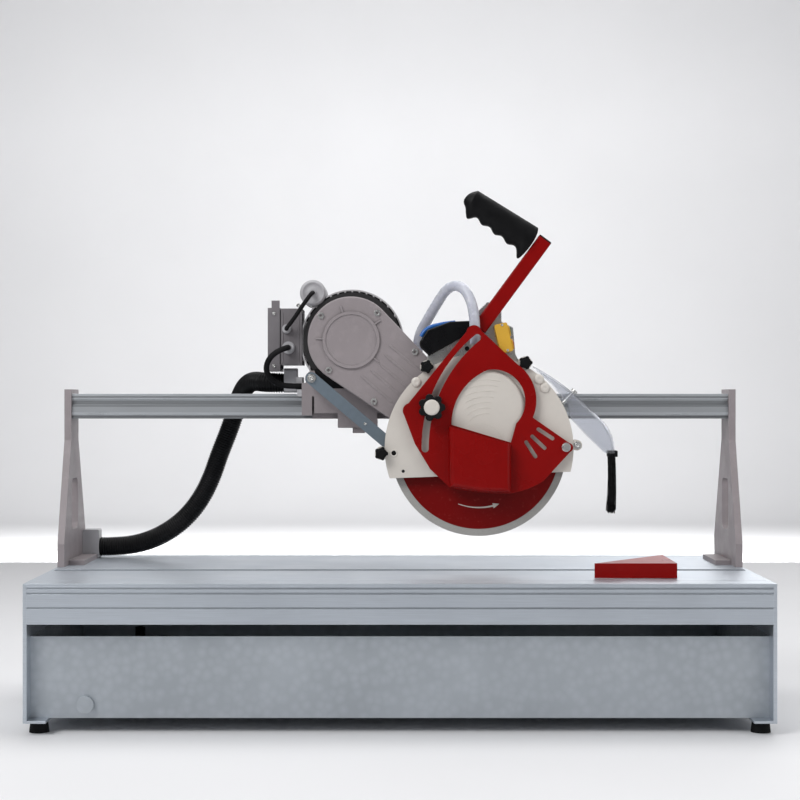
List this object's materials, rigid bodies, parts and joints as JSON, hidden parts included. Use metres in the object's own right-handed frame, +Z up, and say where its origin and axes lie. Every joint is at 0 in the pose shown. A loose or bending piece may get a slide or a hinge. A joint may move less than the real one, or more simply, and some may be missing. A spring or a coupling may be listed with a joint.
{
  "type": "wet tile saw",
  "caption": "Bench-top bridge wet tile saw: belt-driven blade head with swinging red cover, level guard and handle, sliding on a rail over a slotted table and water tank",
  "frame": {"origin": "middle of the floor under the bench", "axes": "+X along the rail to the user's right, +Y away from the user, +Z up"},
  "size_m": [1.188, 0.52, 0.892],
  "materials": {
    "bench_aluminium": "satin extruded aluminium",
    "galvanised": "galvanised sheet, dull",
    "steel": "machined steel",
    "casting": "warm grey painted casting",
    "motor_grey": "light grey painted aluminium",
    "black_plastic": "gloss black",
    "matt_black": "matt black",
    "grey_plastic": "mid grey moulding",
    "ivory_plastic": "ivory moulding",
    "red_paint": "gloss red paint",
    "blade_red": "red painted core, grey diamond rim",
    "rubber": "black rubber",
    "hose": "milky PVC",
    "clear": "clear PVC sheet",
    "yellow_plastic": "yellow moulding",
    "green_plastic": "green button",
    "red_plastic": "red button",
    "blue_steel": "zinc plated flat bar",
    "bronze": "bronze bush and windings",
    "bristle": "black nylon bristles"
  },
  "bodies": {
    "bench": {"long_profiles": "bench_aluminium", "end_plates": "bench_aluminium", "cross_bearers": "galvanised", "table_plates": "bench_aluminium", "water_tank": "galvanised", "water_pump": "black_plastic", "rubber_feet": "rubber", "rail": "bench_aluminium", "rail_supports": "casting", "junction_box": "grey_plastic"},
    "carriage": {"carriage_body": "casting", "carriage_axles": "steel", "pivot_bush": "bronze", "conduit_clamp": "grey_plastic", "link_pin": "steel", "cable_conduit": "matt_black"},
    "roller_left": {"roller_left": "steel"},
    "roller_right": {"roller_right": "steel"},
    "arm": {"arm_casing": "casting", "casing_back": "casting", "casing_screws": "steel", "bearings": "steel", "drive_belt": "rubber", "motor_housing": "motor_grey", "motor_stator": "bronze", "fan_cowl": "matt_black", "terminal_box": "motor_grey", "terminal_lid": "motor_grey", "cable_glands": "grey_plastic", "capacitor": "grey_plastic", "capacitor_lead": "rubber", "motor_cable": "rubber"},
    "rotor": {"motor_rotor": "steel", "motor_pulley": "steel"},
    "blade": {"blade_spindle": "steel", "blade_pulley": "steel", "blade_flanges": "steel", "arbor_nut": "steel", "saw_blade": "blade_red"},
    "guard": {"guard_front": "ivory_plastic", "guard_rear": "ivory_plastic", "guard_studs": "steel", "handle_bracket": "steel", "handle_tube": "red_paint", "handle_grip": "matt_black", "control_box": "black_plastic", "switch_body": "yellow_plastic", "splash_flap": "clear", "brush_strip": "bristle", "water_hose": "hose"},
    "cover": {"cover_plate": "red_paint", "cover_pocket": "red_paint"},
    "cover_knob": {"cover_knob": "matt_black"},
    "guard_knob_left": {"guard_knob_left": "matt_black"},
    "guard_knob_right": {"guard_knob_right": "matt_black"},
    "guard_knob_side": {"guard_knob_side": "matt_black"},
    "link": {"link_bar": "blue_steel"},
    "start_button": {"start_button": "green_plastic"},
    "stop_button": {"stop_button": "red_plastic"},
    "square": {"angle_square": "red_paint"}
  },
  "joints": [
    {"name": "carriage_slide", "type": "slide", "parent": "bench", "child": "carriage", "axis": [1, 0, 0], "range_m": [-0.33, 0.2], "deforming": ["cable_conduit"]},
    {"name": "roller_left_spin", "type": "hinge", "parent": "carriage", "child": "roller_left", "pos_m": [-0.15512, 0.12, 0.555], "axis": [0, 1, 0], "range_deg": [-1400, 900]},
    {"name": "roller_right_spin", "type": "hinge", "parent": "carriage", "child": "roller_right", "pos_m": [-0.01312, 0.12, 0.555], "axis": [0, 1, 0], "range_deg": [-1400, 900]},
    {"name": "head_plunge", "type": "hinge", "parent": "carriage", "child": "arm", "pos_m": [-0.08412, 0.056, 0.63298], "axis": [0, 1, 0], "range_deg": [0, 22], "stiffness_Nm_per_rad": 60, "springref_deg": -34.38, "deforming": ["motor_cable"]},
    {"name": "rotor_spin", "type": "hinge", "parent": "arm", "child": "rotor", "pos_m": [-0.08412, 0.1, 0.63298], "axis": [0, 1, 0], "continuous": true},
    {"name": "blade_spin", "type": "hinge", "parent": "arm", "child": "blade", "pos_m": [0.134, -0.03, 0.448], "axis": [0, 1, 0], "continuous": true},
    {"name": "guard_level", "type": "hinge", "parent": "arm", "child": "guard", "pos_m": [0.134, -0.0125, 0.448], "axis": [0, 1, 0], "range_deg": [-22, 0], "deforming": ["water_hose"]},
    {"name": "link_swing", "type": "hinge", "parent": "carriage", "child": "link", "pos_m": [-0.15212, -0.005, 0.56698], "axis": [0, 1, 0], "range_deg": [0, 22]},
    {"name": "cover_swing", "type": "hinge", "parent": "guard", "child": "cover", "pos_m": [0.2804, -0.03, 0.4499], "axis": [0, 1, 0], "range_deg": [-34, 16.5]},
    {"name": "cover_knob_turn", "type": "hinge", "parent": "guard", "child": "cover_knob", "pos_m": [0.0531, -0.03, 0.5172], "axis": [0, 1, 0], "range_deg": [-180, 180]},
    {"name": "guard_knob_left_turn", "type": "hinge", "parent": "guard", "child": "guard_knob_left", "pos_m": [0.0452, -0.03, 0.586], "axis": [0, 1, 0], "range_deg": [-360, 360]},
    {"name": "guard_knob_right_turn", "type": "hinge", "parent": "guard", "child": "guard_knob_right", "pos_m": [0.2124, -0.03, 0.5928], "axis": [0, 1, 0], "range_deg": [-360, 360]},
    {"name": "guard_knob_side_turn", "type": "hinge", "parent": "guard", "child": "guard_knob_side", "pos_m": [-0.0317, -0.03, 0.4393], "axis": [0, 1, 0], "range_deg": [-360, 360]},
    {"name": "start_button_press", "type": "slide", "parent": "guard", "child": "start_button", "axis": [-0.9744, 0, -0.225], "range_m": [0, 0.0035], "stiffness_N_per_m": 400},
    {"name": "stop_button_press", "type": "slide", "parent": "guard", "child": "stop_button", "axis": [-0.9744, 0, -0.225], "range_m": [0, 0.0035], "stiffness_N_per_m": 400},
    {"name": "square_slide", "type": "slide", "parent": "bench", "child": "square", "axis": [1, 0, 0], "range_m": [-0.25, 0.12]}
  ],
  "couplings": [
    {"joint": "roller_left_spin", "follows": "carriage_slide", "rad_per_m": 71.429},
    {"joint": "roller_right_spin", "follows": "carriage_slide", "rad_per_m": 71.429},
    {"joint": "guard_level", "follows": "head_plunge", "ratio": -1},
    {"joint": "link_swing", "follows": "head_plunge", "ratio": 1},
    {"joint": "blade_spin", "follows": "rotor_spin", "ratio": 0.88235}
  ]
}
